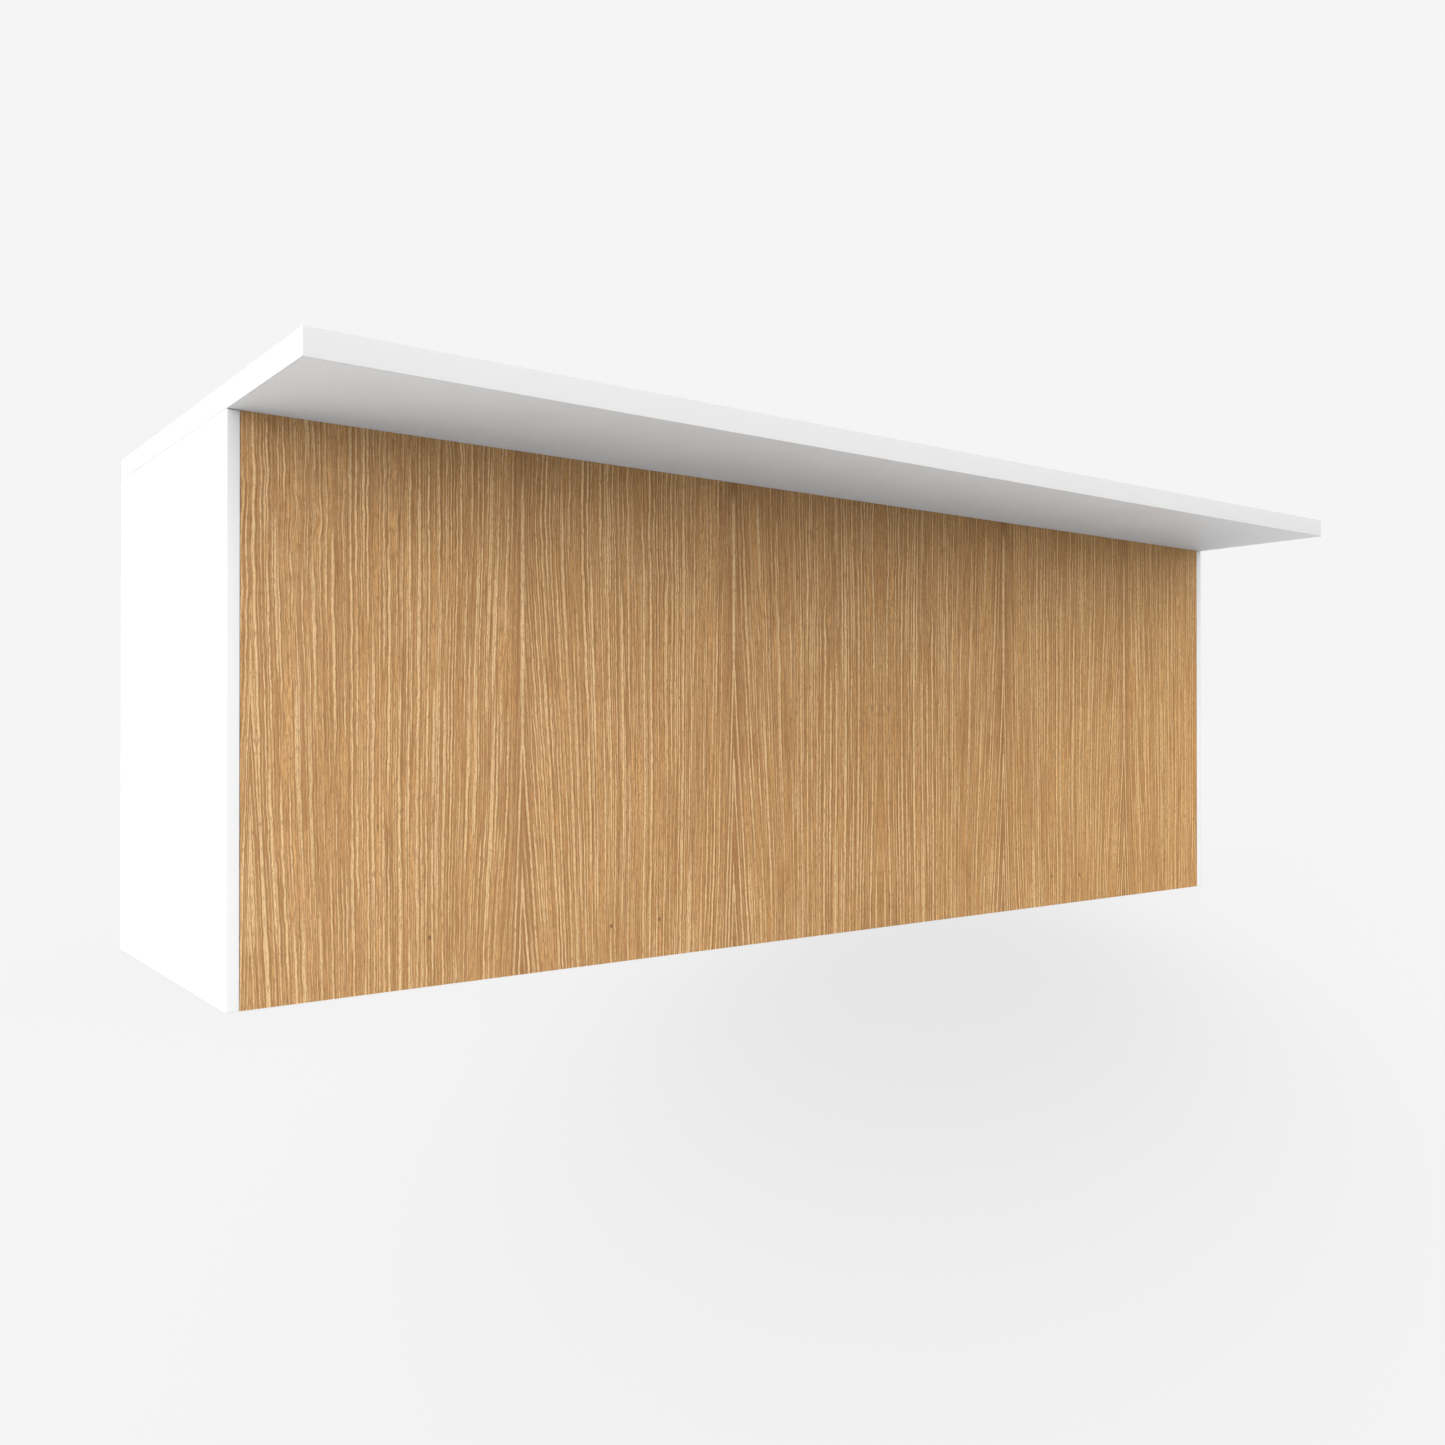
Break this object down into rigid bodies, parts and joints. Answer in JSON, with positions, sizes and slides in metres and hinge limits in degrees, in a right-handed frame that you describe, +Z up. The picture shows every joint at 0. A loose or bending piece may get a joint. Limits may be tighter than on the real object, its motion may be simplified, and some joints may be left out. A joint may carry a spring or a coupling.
{
  "type": "study carrel",
  "caption": "Long panel-end study carrel: a thick white worktop overhangs an oak-veneered front panel between white side panels, open at the reader's side, on screw feet.",
  "frame": {"origin": "on the floor, under the middle of the worktop's outline", "axes": "+Z up; +X along the carrel's length, to the right as the oak front is seen; -Y towards the visitors' side, where the top overhangs; readers sit on the +Y side"},
  "size_m": [2.032, 0.83, 0.754],
  "materials": {
    "white_melamine": "satin white melamine on particle board",
    "white_edging": "satin white edge band",
    "oak_veneer": "brushed, matt-lacquered oak veneer, grain upright",
    "zinc_cam": "cast zinc, dull",
    "bright_steel": "zinc-plated steel",
    "beech": "fluted beech",
    "coated_steel": "light grey powder coat, fine texture"
  },
  "bodies": {
    "carrel": {"centre_support_edging": "white_edging", "centre_support_lower_bolt": "bright_steel", "centre_support_lower_cam": "zinc_cam", "centre_support_panel": "white_melamine", "centre_support_top_back_bolt": "bright_steel", "centre_support_top_back_cam": "zinc_cam", "centre_support_top_front_bolt": "bright_steel", "centre_support_top_front_cam": "zinc_cam", "centre_support_upper_bolt": "bright_steel", "centre_support_upper_cam": "zinc_cam", "left_back_dowel": "beech", "left_front_dowel": "beech", "left_side_back_bolt": "bright_steel", "left_side_back_cam": "zinc_cam", "left_side_edging_back": "white_edging", "left_side_edging_front": "white_edging", "left_side_front_bolt": "bright_steel", "left_side_front_cam": "zinc_cam", "left_side_panel": "white_melamine", "leveller_bracket_centre": "bright_steel", "leveller_bracket_left_back": "bright_steel", "leveller_bracket_left_front": "bright_steel", "leveller_bracket_right_back": "bright_steel", "leveller_bracket_right_front": "bright_steel", "oak_panel": "oak_veneer", "oak_panel_left_lower_bolt": "bright_steel", "oak_panel_left_lower_cam": "zinc_cam", "oak_panel_left_upper_bolt": "bright_steel", "oak_panel_left_upper_cam": "zinc_cam", "oak_panel_right_lower_bolt": "bright_steel", "oak_panel_right_lower_cam": "zinc_cam", "oak_panel_right_upper_bolt": "bright_steel", "oak_panel_right_upper_cam": "zinc_cam", "oak_panel_top_left_bolt": "bright_steel", "oak_panel_top_left_cam": "zinc_cam", "oak_panel_top_right_bolt": "bright_steel", "oak_panel_top_right_cam": "zinc_cam", "rail_bracket_left": "coated_steel", "rail_bracket_right": "coated_steel", "right_back_dowel": "beech", "right_front_dowel": "beech", "right_side_back_bolt": "bright_steel", "right_side_back_cam": "zinc_cam", "right_side_edging_back": "white_edging", "right_side_edging_front": "white_edging", "right_side_front_bolt": "bright_steel", "right_side_front_cam": "zinc_cam", "right_side_panel": "white_melamine", "stiffening_rail": "coated_steel", "top_edging_back": "white_edging", "top_edging_front": "white_edging", "top_edging_left": "white_edging", "top_edging_right": "white_edging", "top_panel": "white_melamine"},
    "foot_centre": {"levelling_foot_centre": "bright_steel"},
    "foot_left_back": {"levelling_foot_left_back": "bright_steel"},
    "foot_left_front": {"levelling_foot_left_front": "bright_steel"},
    "foot_right_back": {"levelling_foot_right_back": "bright_steel"},
    "foot_right_front": {"levelling_foot_right_front": "bright_steel"}
  },
  "joints": [
    {"name": "foot_height_centre", "type": "slide", "parent": "carrel", "child": "foot_centre", "axis": [0, 0, -1], "range_m": [0, 0.015]},
    {"name": "foot_height_left_back", "type": "slide", "parent": "carrel", "child": "foot_left_back", "axis": [0, 0, -1], "range_m": [0, 0.015]},
    {"name": "foot_height_left_front", "type": "slide", "parent": "carrel", "child": "foot_left_front", "axis": [0, 0, -1], "range_m": [0, 0.015]},
    {"name": "foot_height_right_back", "type": "slide", "parent": "carrel", "child": "foot_right_back", "axis": [0, 0, -1], "range_m": [0, 0.015]},
    {"name": "foot_height_right_front", "type": "slide", "parent": "carrel", "child": "foot_right_front", "axis": [0, 0, -1], "range_m": [0, 0.015]}
  ]
}
